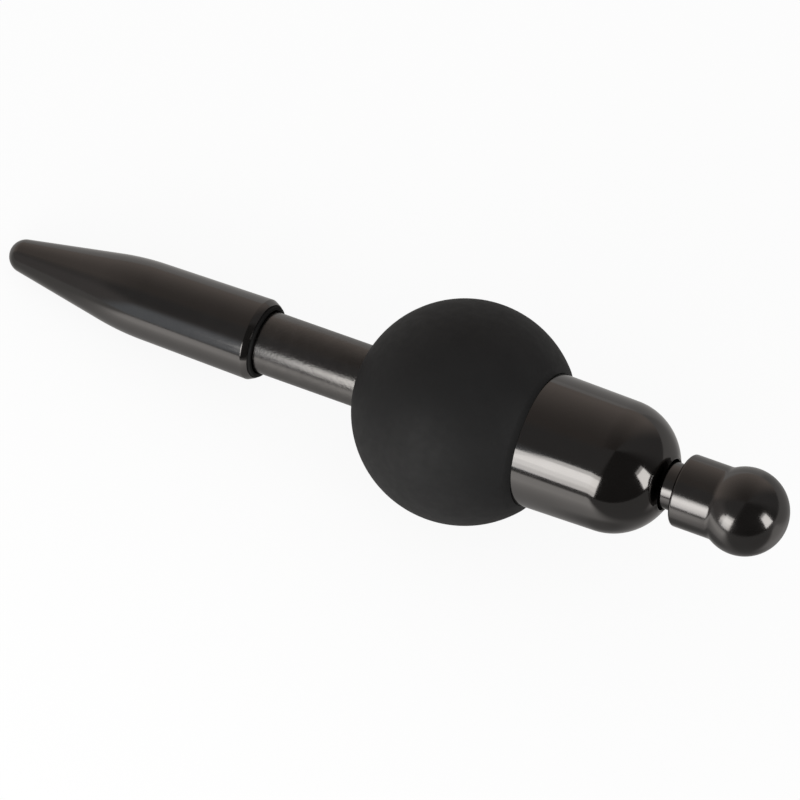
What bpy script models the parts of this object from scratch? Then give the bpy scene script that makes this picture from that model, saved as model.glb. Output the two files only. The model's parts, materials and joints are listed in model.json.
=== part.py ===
"""A battery-powered plug that lies on its soft stopper ball and its nose.

Every piece is turned about one axis or placed on it. The axis is the local Z of the empty product_axis,
with zero at the middle of the stopper ball and the push knob on the + side. Lengths are in metres.
"""

import math

import bpy
from mathutils import Euler, Matrix, Vector

MM = 0.001

# Fits
GAP = 0.3 * MM  # between pieces that touch
FINE_GAP = 0.15 * MM  # in the motor, at the seals' bores and at the clip

# Stopper ball
BALL_RADIUS = 15.0 * MM
BALL_GRIP = 3.2 * MM  # length of its bore on the stem
BALL_TRAVEL = 15.1 * MM  # it slides this far towards the tip
SEAT_DEPTH = 0.4 * MM  # recess that takes the housing's shoulder
BALL_LAND = 0.3 * MM  # flat front left round that recess

# Stem
STEM_RADIUS = 4.3 * MM
STEM_WALL = 1.0 * MM
STEM_SEAT = 15.0 * MM  # length inside the tip sleeve

# Tip sleeve
SLEEVE_LENGTH = 39.9 * MM
SLEEVE_REAR_RADIUS = 5.62 * MM
TAPER_LENGTH = 19.0 * MM
TAPER_RADIUS = 5.33 * MM  # where the taper meets the nearly straight rear
TAPER_BLEND = 40.0 * MM  # radius of the soft shoulder there
NOSE_RADIUS = 2.35 * MM
LIP_LENGTH = 1.2 * MM  # axial length of the rounded rear lip
TIP_RING_WALL = 0.4 * MM
TIP_RING_LENGTH = 1.2 * MM
TIP_RING_RECESS = 0.25 * MM

# Bullet housing
HOUSING_RADIUS = 9.13 * MM  # at the shoulder on the ball
DOME_RADIUS = 8.92 * MM  # where the dome starts
DOME_DEPTH = 8.49 * MM
SHOULDER_ROUND = 0.3 * MM
HOUSING_BORE = 7.2 * MM
SKIRT_WALL = 1.2 * MM  # round the bore, in the part inside the ball
END_WALL = 3.04 * MM
INNER_FACE_RADIUS = 5.0 * MM
END_LIP = 0.8 * MM  # metal that covers the gland in the opening
RIM_ROUND = 0.2 * MM  # edge of the opening in the dome

# Battery plug and its seal
FLANGE_THICKNESS = 1.6 * MM
PLUG_FLOOR = 2.0 * MM
STUB_LENGTH = 5.0 * MM
SEAL_THICKNESS = 1.0 * MM
THREAD_TRAVEL = 4.0 * MM  # the plug screws out this far
SPIGOT_GRIP = 2.0 * MM  # length of its spigot still in the housing then

# Contact spring
SPRING_RADIUS = 2.6 * MM
SPRING_WIRE = 0.25 * MM
SPRING_LENGTH = 3.1 * MM
SPRING_TURNS = 2.75
SPRING_POINTS = 10  # a turn

# Button cells
CELL_COUNT = 3
CELL_RADIUS = 5.8 * MM
CELL_HEIGHT = 5.4 * MM
CELL_CAP_RADIUS = 4.9 * MM
CELL_CAP_HEIGHT = 0.5 * MM
CELL_ROUND = 0.4 * MM

# Contacts
CONTACT_THICKNESS = 0.4 * MM
CONTACT_RADIUS = 3.4 * MM
STRIP_THICKNESS = 0.3 * MM
STRIP_WIDTH = 2.4 * MM

# Motor, which lies across the housing
HOLDER_LENGTH = 6.8 * MM
MOTOR_RADIUS = 2.5 * MM
MOTOR_LENGTH = 7.2 * MM
MOTOR_WALL = 0.3 * MM
MOTOR_FRONT_WALL = 0.4 * MM
MOTOR_OFFSET = 1.7 * MM  # the can's middle lies this far to the -Y side
END_CAP_THICKNESS = 0.8 * MM
SHAFT_RADIUS = 0.4 * MM
MAGNET_RADIUS = 1.2 * MM
COIL_WALL = 0.45 * MM
COIL_WEB = 0.3 * MM
WEIGHT_RADIUS = 2.7 * MM
WEIGHT_LENGTH = 2.6 * MM

# Board, switch and wires
BOARD_THICKNESS = 0.8 * MM
SWITCH_SIDE = 6.0 * MM
SWITCH_HEIGHT = 2.4 * MM
SWITCH_FLOOR = 0.3 * MM
PLUNGER_RADIUS = 1.7 * MM
CHIP_LENGTH = 2.9 * MM
CHIP_WIDTH = 1.6 * MM
CHIP_HEIGHT = 1.1 * MM
SCREW_OFFSET = 5.1 * MM
SCREW_RADIUS = 0.4 * MM
SCREW_HEAD_RADIUS = 0.9 * MM
SCREW_HEAD_HEIGHT = 0.6 * MM
SCREW_LENGTH = 3.6 * MM
WIRE_RADIUS = 0.25 * MM
WIRE_SPACING = 1.4 * MM

# Push knob
BUTTON_TRAVEL = 1.0 * MM
BUTTON_GAP = 1.99 * MM  # from the dome's end to the collar
NECK_RADIUS = 3.2 * MM
COLLAR_RADIUS = 4.93 * MM
COLLAR_ROUND = 0.45 * MM
KNOB_RADIUS = 5.84 * MM
KNOB_OFFSET = 8.83 * MM  # from the collar's face to the ball's middle
KNOB_FILLET = 1.4 * MM
CLIP_THICKNESS = 0.6 * MM
CLIP_RADIUS = 4.6 * MM
CLIP_LAND = 0.5 * MM  # neck left beyond the clip
CLIP_GROOVE = 0.5 * MM
GLAND_WALL = 0.6 * MM
GLAND_FLANGE = 0.7 * MM  # how far its flange stands out
GLAND_FLANGE_THICKNESS = 0.6 * MM

# Facets round a turned piece
STEPS_BALL = 40
STEPS_LARGE = 36
STEPS_MEDIUM = 28
STEPS_SMALL = 16

# Radii that follow
SKIRT_RADIUS = HOUSING_BORE + SKIRT_WALL
BALL_BORE = STEM_RADIUS + GAP
BALL_POCKET = SKIRT_RADIUS + GAP
BALL_SEAT = HOUSING_RADIUS + GAP
FRONT_RADIUS = BALL_SEAT + BALL_LAND
SLEEVE_BORE = STEM_RADIUS + GAP
TIP_RING_BORE = STEM_RADIUS + FINE_GAP
LIP_BORE = TIP_RING_BORE + TIP_RING_WALL + FINE_GAP
SPIGOT_RADIUS = HOUSING_BORE - GAP
CELL_SEAT_RADIUS = CELL_RADIUS + GAP
SPRING_SEAT_RADIUS = SPRING_RADIUS + SPRING_WIRE + 2 * GAP
GLAND_BORE = NECK_RADIUS + FINE_GAP
GLAND_RADIUS = GLAND_BORE + GLAND_WALL
GLAND_SEAT_RADIUS = GLAND_RADIUS + FINE_GAP
OPENING_RADIUS = NECK_RADIUS + GAP
HOLDER_RADIUS = HOUSING_BORE - GAP

# Places along the axis that follow, from the ball's rear to the knob
BALL_REAR_AT = -math.sqrt(BALL_RADIUS**2 - BALL_BORE**2)
POCKET_FLOOR_AT = BALL_REAR_AT + BALL_GRIP
FLANGE_AT = POCKET_FLOOR_AT + GAP
FLANGE_TOP_AT = FLANGE_AT + FLANGE_THICKNESS
SEAL_AT = FLANGE_TOP_AT + GAP + SEAL_THICKNESS / 2
MOUTH_AT = SEAL_AT + SEAL_THICKNESS / 2 + GAP
SPIGOT_END_AT = MOUTH_AT + THREAD_TRAVEL + SPIGOT_GRIP
SPRING_AT = FLANGE_AT + PLUG_FLOOR + GAP
CELLS_AT = SPRING_AT + SPRING_LENGTH + GAP
CELL_PITCH = CELL_HEIGHT + GAP
CONTACT_AT = CELLS_AT + CELL_COUNT * CELL_PITCH
HOLDER_AT = CONTACT_AT + CONTACT_THICKNESS + GAP
MOTOR_AT = HOLDER_AT + HOLDER_LENGTH / 2
BOARD_AT = HOLDER_AT + HOLDER_LENGTH + GAP
SWITCH_AT = BOARD_AT + BOARD_THICKNESS + GAP
NECK_END_AT = SWITCH_AT + SWITCH_HEIGHT + BUTTON_TRAVEL + GAP
CLIP_AT = NECK_END_AT + CLIP_LAND
GLAND_AT = CLIP_AT + CLIP_THICKNESS + GAP
INNER_FACE_AT = GLAND_AT + GLAND_FLANGE_THICKNESS + GAP
DOME_END_AT = INNER_FACE_AT + END_WALL
DOME_AT = DOME_END_AT - DOME_DEPTH * math.sqrt(1 - (OPENING_RADIUS / DOME_RADIUS) ** 2)
FRONT_AT = math.sqrt(BALL_RADIUS**2 - FRONT_RADIUS**2)
SEAT_FLOOR_AT = FRONT_AT - SEAT_DEPTH
SHOULDER_AT = SEAT_FLOOR_AT + GAP
COLLAR_AT = DOME_END_AT + BUTTON_GAP
KNOB_AT = COLLAR_AT + KNOB_OFFSET

# Places towards the tip
SLEEVE_END_AT = BALL_REAR_AT - BALL_TRAVEL - GAP
STEM_TOP_AT = FLANGE_AT - GAP
STEM_END_AT = SLEEVE_END_AT - STEM_SEAT
TIP_AT = SLEEVE_END_AT - SLEEVE_LENGTH
NOSE_AT = TIP_AT + NOSE_RADIUS

# The motor's own Z runs along the world's Y
MOTOR_REAR = -MOTOR_OFFSET - MOTOR_LENGTH / 2
MOTOR_FRONT = MOTOR_REAR + MOTOR_LENGTH
WEIGHT_START = MOTOR_FRONT + 2 * GAP
SHAFT_END = WEIGHT_START + WEIGHT_LENGTH + GAP
MOTOR_POCKET = MOTOR_RADIUS + GAP
WEIGHT_POCKET = WEIGHT_RADIUS + GAP


# ---------------------------------------------------------------- outlines, as (along, radius) pairs


def arc(centre, radii, start, end, count):
    """Points on a round or elliptical arc; angles in radians from the + end of the axis."""
    points = []
    for index in range(count + 1):
        angle = start + (end - start) * index / count
        points.append((centre[0] + radii[0] * math.cos(angle), centre[1] + radii[1] * math.sin(angle)))
    return points


def fillet(before, corner, after, radius, count):
    """The arc that rounds a corner between two straight stretches."""
    corner = Vector(corner)
    back = (Vector(before) - corner).normalized()
    on = (Vector(after) - corner).normalized()
    half = back.angle(on) / 2
    centre = corner + (back + on).normalized() * radius / math.sin(half)
    first = corner + back * radius / math.tan(half) - centre
    last = corner + on * radius / math.tan(half) - centre
    sweep = first.angle_signed(last)
    points = []
    for index in range(count + 1):
        spoke = Matrix.Rotation(-sweep * index / count, 2) @ first
        points.append(tuple(centre + spoke))
    return points


def tangent_angle(centre, radius, point):
    """Where a line from the point touches the circle, on the side away from the axis."""
    reach = Vector(point) - Vector(centre)
    return math.atan2(reach.y, reach.x) + math.acos(radius / reach.length)


def sleeve_outside():
    """The tip sleeve's skin, from its rear lip down to the point of the nose."""
    shoulder = (TIP_AT + TAPER_LENGTH, TAPER_RADIUS)
    lip_start = (SLEEVE_END_AT - LIP_LENGTH, SLEEVE_REAR_RADIUS)
    lip = arc(
        (lip_start[0], LIP_BORE), (LIP_LENGTH, SLEEVE_REAR_RADIUS - LIP_BORE), 0, math.pi / 2, 6
    )
    touch = tangent_angle((NOSE_AT, 0), NOSE_RADIUS, shoulder)
    nose = arc((NOSE_AT, 0), (NOSE_RADIUS, NOSE_RADIUS), touch, math.pi, 8)
    return lip + fillet(lip_start, shoulder, nose[0], TAPER_BLEND, 6) + nose


def rest_angle():
    """How far the axis rises towards the knob when the ball and the nose lie on the floor."""
    angles = []
    for along, radius in sleeve_outside():
        angles.append(math.asin(BALL_RADIUS / math.hypot(along, radius)) - math.atan2(radius, -along))
    return min(angles)


def housing_outline():
    dome_side = math.acos(OPENING_RADIUS / DOME_RADIUS)
    outside = [
        (DOME_END_AT, OPENING_RADIUS + RIM_ROUND),
        *arc((DOME_AT, 0), (DOME_DEPTH, DOME_RADIUS), math.pi / 2 - dome_side + 0.06, math.pi / 2, 11),
        *fillet((DOME_AT, DOME_RADIUS), (SHOULDER_AT, HOUSING_RADIUS), (SHOULDER_AT, SKIRT_RADIUS),
                SHOULDER_ROUND, 4),
        (SHOULDER_AT, SKIRT_RADIUS),
        (MOUTH_AT, SKIRT_RADIUS),
    ]
    inner_side = math.acos(INNER_FACE_RADIUS / HOUSING_BORE)
    inner_depth = (INNER_FACE_AT - DOME_AT) / math.sin(inner_side)
    inside = [
        (MOUTH_AT, HOUSING_BORE),
        *arc((DOME_AT, 0), (inner_depth, HOUSING_BORE), math.pi / 2, math.pi / 2 - inner_side, 5),
        (INNER_FACE_AT, GLAND_SEAT_RADIUS),
        (DOME_END_AT - END_LIP, GLAND_SEAT_RADIUS),
        (DOME_END_AT - END_LIP, OPENING_RADIUS),
        (DOME_END_AT - RIM_ROUND, OPENING_RADIUS),
    ]
    return outside + inside


def ball_outline():
    start = math.atan2(FRONT_RADIUS, FRONT_AT)
    end = math.atan2(BALL_BORE, BALL_REAR_AT)
    return arc((0, 0), (BALL_RADIUS, BALL_RADIUS), start, end, 24) + [
        (POCKET_FLOOR_AT, BALL_BORE),
        (POCKET_FLOOR_AT, BALL_POCKET),
        (SEAT_FLOOR_AT, BALL_POCKET),
        (SEAT_FLOOR_AT, BALL_SEAT),
        (FRONT_AT, BALL_SEAT),
    ]


def knob_outline():
    """Ball, collar and neck in one, with a groove for the clip."""
    fillet_middle = (
        KNOB_AT - math.sqrt((KNOB_RADIUS + KNOB_FILLET) ** 2 - (COLLAR_RADIUS + KNOB_FILLET) ** 2),
        COLLAR_RADIUS + KNOB_FILLET,
    )
    blend = math.atan2(fillet_middle[1], fillet_middle[0] - KNOB_AT)
    ball = arc((KNOB_AT, 0), (KNOB_RADIUS, KNOB_RADIUS), 0, blend, 14)
    hollow = arc(fillet_middle, (KNOB_FILLET, KNOB_FILLET), blend - math.pi, -math.pi / 2, 3)
    edge_middle = (COLLAR_AT + COLLAR_ROUND, COLLAR_RADIUS - COLLAR_ROUND)
    edge = arc(edge_middle, (COLLAR_ROUND, COLLAR_ROUND), math.pi / 2, math.pi, 3)
    groove_top = CLIP_AT + CLIP_THICKNESS + FINE_GAP
    groove_bottom = CLIP_AT - FINE_GAP
    neck = [
        (COLLAR_AT, NECK_RADIUS),
        (groove_top, NECK_RADIUS),
        (groove_top, NECK_RADIUS - CLIP_GROOVE),
        (groove_bottom, NECK_RADIUS - CLIP_GROOVE),
        (groove_bottom, NECK_RADIUS),
        (NECK_END_AT, NECK_RADIUS),
        (NECK_END_AT, 0),
    ]
    return ball + hollow[1:] + edge + neck


def plug_outline():
    spring_seat_at = SPRING_AT - GAP
    cell_seat_at = CELLS_AT - GAP
    stub_radius = STEM_RADIUS - STEM_WALL - GAP
    return [
        (spring_seat_at, 0),
        (spring_seat_at, SPRING_SEAT_RADIUS),
        (cell_seat_at, SPRING_SEAT_RADIUS),
        (cell_seat_at, CELL_SEAT_RADIUS),
        (SPIGOT_END_AT, CELL_SEAT_RADIUS),
        (SPIGOT_END_AT, SPIGOT_RADIUS),
        (FLANGE_TOP_AT, SPIGOT_RADIUS),
        (FLANGE_TOP_AT, SKIRT_RADIUS),
        (FLANGE_AT, SKIRT_RADIUS),
        (FLANGE_AT, stub_radius),
        (FLANGE_AT - STUB_LENGTH, stub_radius),
        (FLANGE_AT - STUB_LENGTH, 0),
    ]


def tube_outline(top, bottom, outer, inner):
    return [(top, outer), (bottom, outer), (bottom, inner), (top, inner)]


def rod_outline(top, bottom, radius):
    return [(top, 0), (top, radius), (bottom, radius), (bottom, 0)]


# ---------------------------------------------------------------- materials


def material(name, colour, roughness, metallic):
    made = bpy.data.materials.new(name)
    made.use_nodes = True
    shader = made.node_tree.nodes["Principled BSDF"]
    shader.inputs["Base Color"].default_value = (*colour, 1)
    shader.inputs["Roughness"].default_value = roughness
    shader.inputs["Metallic"].default_value = metallic
    made.diffuse_color = (*colour, 1)
    return made


# ---------------------------------------------------------------- makers


def finish(piece, look, parent, place=(0, 0, 0)):
    """Gives a new piece its place, its material and its collection."""
    piece.parent = parent
    piece.location = place
    piece.data.materials.append(material(piece.name, *look))
    for collection in list(piece.users_collection):
        collection.objects.unlink(piece)
    PARTS.objects.link(piece)
    return piece


def turned_mesh(name, outline, steps):
    """An outline with a Screw modifier; it closes on itself unless both its ends lie on the axis."""
    mesh = bpy.data.meshes.new(name)
    points = [(radius, 0, along) for along, radius in outline]
    edges = [(index, index + 1) for index in range(len(points) - 1)]
    if outline[0][1] > 1e-9:
        edges.append((len(points) - 1, 0))
    mesh.from_pydata(points, edges, [])
    piece = bpy.data.objects.new(name, mesh)
    PARTS.objects.link(piece)
    turn = piece.modifiers.new("turn", "SCREW")
    turn.steps = steps
    turn.render_steps = steps
    turn.use_merge_vertices = True
    turn.merge_threshold = 1e-6
    turn.use_smooth_shade = True
    return piece


def turned(name, outline, steps, look, parent):
    snapped = [(along, radius if radius > 1e-7 else 0) for along, radius in outline]
    return finish(turned_mesh(name, snapped, steps), look, parent)


def box_mesh(name, size, middle):
    bpy.ops.mesh.primitive_cube_add(size=1)
    piece = bpy.context.object
    piece.name = name
    piece.data.transform(Matrix.Translation(middle) @ Matrix.Diagonal((*size, 1)))
    return piece


def rod_mesh(name, radius, bottom, top, steps=STEPS_MEDIUM, middle=(0, 0)):
    bpy.ops.mesh.primitive_cylinder_add(vertices=steps, radius=radius, depth=top - bottom)
    piece = bpy.context.object
    piece.name = name
    piece.data.transform(Matrix.Translation((*middle, (top + bottom) / 2)))
    return piece


def cut(piece, cutter, parent):
    """Takes the cutter's shape out of the piece."""
    cutter.parent = parent
    cutter.hide_render = True
    cutter.display_type = "WIRE"
    for collection in list(cutter.users_collection):
        collection.objects.unlink(cutter)
    CUTTERS.objects.link(cutter)
    taking = piece.modifiers.new(cutter.name, "BOOLEAN")
    taking.operation = "DIFFERENCE"
    taking.object = cutter
    taking.solver = "EXACT"


def wire(name, points, radius, look, parent):
    curve = bpy.data.curves.new(name, "CURVE")
    curve.dimensions = "3D"
    curve.bevel_depth = radius
    curve.bevel_resolution = 1
    curve.use_fill_caps = True
    spline = curve.splines.new("POLY")
    spline.points.add(len(points) - 1)
    for point, spot in zip(spline.points, points):
        point.co = (*spot, 1)
    piece = bpy.data.objects.new(name, curve)
    PARTS.objects.link(piece)
    return finish(piece, look, parent)


def empty(name, parent, place, rotation):
    made = bpy.data.objects.new(name, None)
    PARTS.objects.link(made)
    made.parent = parent
    made.location = place
    made.rotation_euler = rotation
    return made


# ---------------------------------------------------------------- finishes: colour, roughness, metallic

GUNMETAL = ((0.045, 0.042, 0.040), 0.18, 1.0)
SILICONE = ((0.018, 0.018, 0.018), 0.6, 0.0)
RUBBER = ((0.012, 0.012, 0.012), 0.75, 0.0)
STEEL = ((0.62, 0.61, 0.59), 0.3, 1.0)
BRASS = ((0.72, 0.53, 0.26), 0.3, 1.0)
COPPER = ((0.72, 0.34, 0.18), 0.4, 1.0)
WHITE_PLASTIC = ((0.75, 0.75, 0.72), 0.5, 0.0)
BLACK_PLASTIC = ((0.02, 0.02, 0.02), 0.45, 0.0)
BOARD_GREEN = ((0.02, 0.16, 0.06), 0.5, 0.0)
RED_PLASTIC = ((0.5, 0.02, 0.02), 0.5, 0.0)


# ---------------------------------------------------------------- sub-parts


def make_tip(axis):
    """Tapered sleeve, its black ring and the tube that carries both."""
    bore_floor = STEM_END_AT - GAP
    ring_top = SLEEVE_END_AT - TIP_RING_RECESS
    ring_bottom = ring_top - TIP_RING_LENGTH
    recess_floor = ring_bottom - GAP
    bore = [
        (bore_floor, 0),
        (bore_floor, SLEEVE_BORE),
        (recess_floor, SLEEVE_BORE),
        (recess_floor, LIP_BORE),
    ]
    turned("tip_sleeve", bore + sleeve_outside(), STEPS_LARGE, GUNMETAL, axis)
    ring = tube_outline(ring_top, ring_bottom, TIP_RING_BORE + TIP_RING_WALL, TIP_RING_BORE)
    turned("tip_ring", ring, STEPS_MEDIUM, RUBBER, axis)
    stem = tube_outline(STEM_TOP_AT, STEM_END_AT, STEM_RADIUS, STEM_RADIUS - STEM_WALL)
    turned("stem_tube", stem, STEPS_MEDIUM, GUNMETAL, axis)


def make_plug(axis):
    """Screw plug of the battery chamber, its seal and the contact spring."""
    turned("battery_plug", plug_outline(), STEPS_MEDIUM, GUNMETAL, axis)
    seal_middle = (SEAL_AT, (SKIRT_RADIUS + HOUSING_BORE) / 2)
    seal_radii = (SEAL_THICKNESS / 2, min(SEAL_THICKNESS, SKIRT_WALL) / 2)
    seal = arc(seal_middle, seal_radii, math.pi / 2, math.pi / 2 + 2 * math.pi, 8)[:-1]
    turned("plug_seal", seal, STEPS_MEDIUM, RUBBER, axis)
    make_spring(axis)


def make_spring(axis):
    count = round(SPRING_TURNS * SPRING_POINTS)
    rise = SPRING_LENGTH - 2 * SPRING_WIRE
    points = []
    for index in range(count + 1):
        angle = 2 * math.pi * index / SPRING_POINTS
        height = SPRING_AT + SPRING_WIRE + rise * index / count
        points.append(Vector((SPRING_RADIUS * math.cos(angle), SPRING_RADIUS * math.sin(angle), height)))
    gaps = []
    for index, point in enumerate(points):
        for other in points[index + SPRING_POINTS // 2:]:
            gaps.append((point - other).length - 2 * SPRING_WIRE)
    print(f"contact spring: least gap to itself {min(gaps) / MM:.2f} mm")
    wire("contact_spring", points, SPRING_WIRE, STEEL, axis)


def make_cells(axis):
    """Button cells in line, each with its smaller cap towards the spring."""
    for number in range(CELL_COUNT):
        bottom = CELLS_AT + number * CELL_PITCH
        top = bottom + CELL_HEIGHT
        rim = bottom + CELL_CAP_HEIGHT
        outline = [
            (top, 0),
            (top, CELL_RADIUS - CELL_ROUND),
            (top - CELL_ROUND, CELL_RADIUS),
            (rim, CELL_RADIUS),
            (rim, CELL_CAP_RADIUS),
            (bottom, CELL_CAP_RADIUS),
            (bottom, 0),
        ]
        turned(f"button_cell_{number + 1}", outline, STEPS_MEDIUM, STEEL, axis)


def strip_channel(name, bottom, top):
    """Cutter for the channel that the contact strip runs in, on the lower side."""
    depth = 2 * (HOUSING_BORE - CELL_RADIUS)
    middle = CELL_RADIUS + depth / 2
    return box_mesh(name, (depth, STRIP_WIDTH + 2 * GAP, top - bottom), (middle, 0, (top + bottom) / 2))


def make_contacts(axis):
    sleeve_bottom = SPIGOT_END_AT + GAP
    sleeve_top = HOLDER_AT - GAP
    sleeve = tube_outline(sleeve_top, sleeve_bottom, HOLDER_RADIUS, CELL_SEAT_RADIUS)
    insulator = turned("battery_sleeve", sleeve, STEPS_MEDIUM, WHITE_PLASTIC, axis)
    cut(insulator, strip_channel("sleeve_channel_cutter", sleeve_bottom - GAP, sleeve_top + GAP), axis)
    plate = [
        (CONTACT_AT + CONTACT_THICKNESS, 0),
        (CONTACT_AT + CONTACT_THICKNESS, CONTACT_RADIUS),
        (CONTACT_AT, CONTACT_RADIUS),
        (CONTACT_AT, 0),
    ]
    turned("positive_contact", plate, STEPS_SMALL, BRASS, axis)
    strip_top = BOARD_AT - GAP
    strip_length = strip_top - sleeve_bottom
    strip_middle = (HOLDER_RADIUS + CELL_SEAT_RADIUS) / 2
    strip = box_mesh(
        "negative_strip",
        (STRIP_THICKNESS, STRIP_WIDTH, strip_length),
        (strip_middle, 0, sleeve_bottom + strip_length / 2),
    )
    finish(strip, BRASS, axis)


def make_housing(axis):
    turned("housing", housing_outline(), STEPS_LARGE, GUNMETAL, axis)
    gland_end = DOME_END_AT - END_LIP - GAP
    flange_radius = GLAND_RADIUS + GLAND_FLANGE
    gland = [
        (gland_end, GLAND_RADIUS),
        (GLAND_AT + GLAND_FLANGE_THICKNESS, GLAND_RADIUS),
        (GLAND_AT + GLAND_FLANGE_THICKNESS, flange_radius),
        (GLAND_AT, flange_radius),
        (GLAND_AT, GLAND_BORE),
        (gland_end, GLAND_BORE),
    ]
    turned("button_gland", gland, STEPS_MEDIUM, RUBBER, axis)


def make_motor(axis, motor):
    """Holder across the housing with the can, its magnet and its end cap."""
    holder = turned(
        "motor_holder", rod_outline(HOLDER_AT + HOLDER_LENGTH, HOLDER_AT, HOLDER_RADIUS),
        STEPS_MEDIUM, BLACK_PLASTIC, axis,
    )
    beyond = HOUSING_BORE + GAP
    chamber_start = MOTOR_FRONT + GAP
    cut(holder, rod_mesh("motor_pocket_cutter", MOTOR_POCKET, -beyond, chamber_start), motor)
    cut(holder, rod_mesh("weight_pocket_cutter", WEIGHT_POCKET, chamber_start - GAP / 2, beyond), motor)
    cut(holder, strip_channel("holder_channel_cutter", HOLDER_AT - GAP, BOARD_AT), axis)
    wire_width = WIRE_SPACING + 2 * WIRE_RADIUS + 2 * GAP
    wire_depth = beyond + MOTOR_REAR
    channel_middle = -beyond + wire_depth / 2
    channel = box_mesh(
        "wire_channel_cutter",
        (wire_width, wire_depth, BOARD_AT - MOTOR_AT),
        (0, channel_middle, (BOARD_AT + MOTOR_AT) / 2),
    )
    cut(holder, channel, axis)
    pilot_top = BOARD_AT
    pilot_bottom = BOARD_AT - SCREW_LENGTH
    for side in (-1, 1):
        pilot = rod_mesh(
            f"pilot_cutter_{side + 2}", SCREW_RADIUS + FINE_GAP, pilot_bottom, pilot_top,
            STEPS_SMALL, (side * SCREW_OFFSET, 0),
        )
        cut(holder, pilot, axis)

    can_bore = MOTOR_RADIUS - MOTOR_WALL
    shaft_hole = SHAFT_RADIUS + FINE_GAP
    front_inside = MOTOR_FRONT - MOTOR_FRONT_WALL
    can = [
        (MOTOR_FRONT, MOTOR_RADIUS),
        (MOTOR_REAR, MOTOR_RADIUS),
        (MOTOR_REAR, can_bore),
        (front_inside, can_bore),
        (front_inside, shaft_hole),
        (MOTOR_FRONT, shaft_hole),
    ]
    turned("motor_can", can, STEPS_SMALL, STEEL, motor)
    cap_top = MOTOR_REAR + END_CAP_THICKNESS
    turned(
        "motor_end_cap", rod_outline(cap_top, MOTOR_REAR, can_bore - FINE_GAP), STEPS_SMALL,
        WHITE_PLASTIC, motor,
    )
    web_bottom = cap_top + GAP
    magnet_top = front_inside - FINE_GAP
    magnet_bottom = web_bottom + COIL_WEB + GAP
    magnet = tube_outline(magnet_top, magnet_bottom, MAGNET_RADIUS, shaft_hole)
    turned("motor_magnet", magnet, STEPS_SMALL, STEEL, motor)
    coil_bore = MAGNET_RADIUS + FINE_GAP
    coil_radius = coil_bore + COIL_WALL
    coil = [
        (front_inside - GAP, coil_radius),
        (web_bottom, coil_radius),
        (web_bottom, shaft_hole),
        (web_bottom + COIL_WEB, shaft_hole),
        (web_bottom + COIL_WEB, coil_bore),
        (front_inside - GAP, coil_bore),
    ]
    turned("rotor_coil", coil, STEPS_SMALL, COPPER, motor)
    shaft_bottom = cap_top + FINE_GAP
    turned("rotor_shaft", rod_outline(SHAFT_END, shaft_bottom, SHAFT_RADIUS), STEPS_SMALL, STEEL, motor)
    weight_top = WEIGHT_START + WEIGHT_LENGTH
    weight = turned(
        "eccentric_weight", tube_outline(weight_top, WEIGHT_START, WEIGHT_RADIUS, shaft_hole),
        STEPS_SMALL, STEEL, motor,
    )
    spare = WEIGHT_RADIUS + GAP
    hub = 2 * shaft_hole
    half = box_mesh(
        "weight_cutter",
        (spare, 2 * spare, WEIGHT_LENGTH + 2 * GAP),
        (-hub - spare / 2, 0, (weight_top + WEIGHT_START) / 2),
    )
    cut(weight, half, motor)


def make_wires(axis):
    """Two short leads from the motor's end cap up to the board."""
    lane = MOTOR_REAR - GAP - WIRE_RADIUS
    for name, side, look in (("red_wire", 1, RED_PLASTIC), ("black_wire", -1, BLACK_PLASTIC)):
        across = side * WIRE_SPACING / 2
        start = Vector((across, lane, MOTOR_AT - WIRE_SPACING / 2))
        end = Vector((across, lane, BOARD_AT - GAP))
        points = [start.lerp(end, step / 4) for step in range(5)]
        wire(name, points, WIRE_RADIUS, look, axis)


def make_board(axis):
    """Round board with its chip, its two screws and the push switch."""
    board_top = BOARD_AT + BOARD_THICKNESS
    board = turned(
        "circuit_board", rod_outline(board_top, BOARD_AT, HOLDER_RADIUS), STEPS_MEDIUM, BOARD_GREEN, axis
    )
    for side in (-1, 1):
        hole = rod_mesh(
            f"board_hole_cutter_{side + 2}", SCREW_RADIUS + FINE_GAP, BOARD_AT - GAP, board_top + GAP,
            STEPS_SMALL, (side * SCREW_OFFSET, 0),
        )
        cut(board, hole, axis)
    head_bottom = board_top + FINE_GAP
    screw_outline = [
        (head_bottom + SCREW_HEAD_HEIGHT, 0),
        (head_bottom + SCREW_HEAD_HEIGHT, SCREW_HEAD_RADIUS),
        (head_bottom, SCREW_HEAD_RADIUS),
        (head_bottom, SCREW_RADIUS),
        (head_bottom - SCREW_LENGTH, SCREW_RADIUS),
        (head_bottom - SCREW_LENGTH, 0),
    ]
    for number, side in enumerate((-1, 1), 1):
        screw = turned(f"board_screw_{number}", screw_outline, STEPS_SMALL, STEEL, axis)
        screw.location.x = side * SCREW_OFFSET

    chip_size = (CHIP_LENGTH, CHIP_WIDTH, CHIP_HEIGHT)
    chip_middle = (0, (SWITCH_SIDE / 2 + HOLDER_RADIUS) / 2, board_top + GAP + CHIP_HEIGHT / 2)
    finish(box_mesh("driver_chip", chip_size, chip_middle), BLACK_PLASTIC, axis)

    switch_middle = (0, 0, SWITCH_AT + SWITCH_HEIGHT / 2)
    body = box_mesh("switch_body", (SWITCH_SIDE, SWITCH_SIDE, SWITCH_HEIGHT), switch_middle)
    finish(body, BLACK_PLASTIC, axis)
    well = rod_mesh(
        "switch_well_cutter", PLUNGER_RADIUS + GAP, SWITCH_AT + SWITCH_FLOOR,
        SWITCH_AT + SWITCH_HEIGHT + GAP, STEPS_SMALL,
    )
    cut(body, well, axis)


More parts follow.
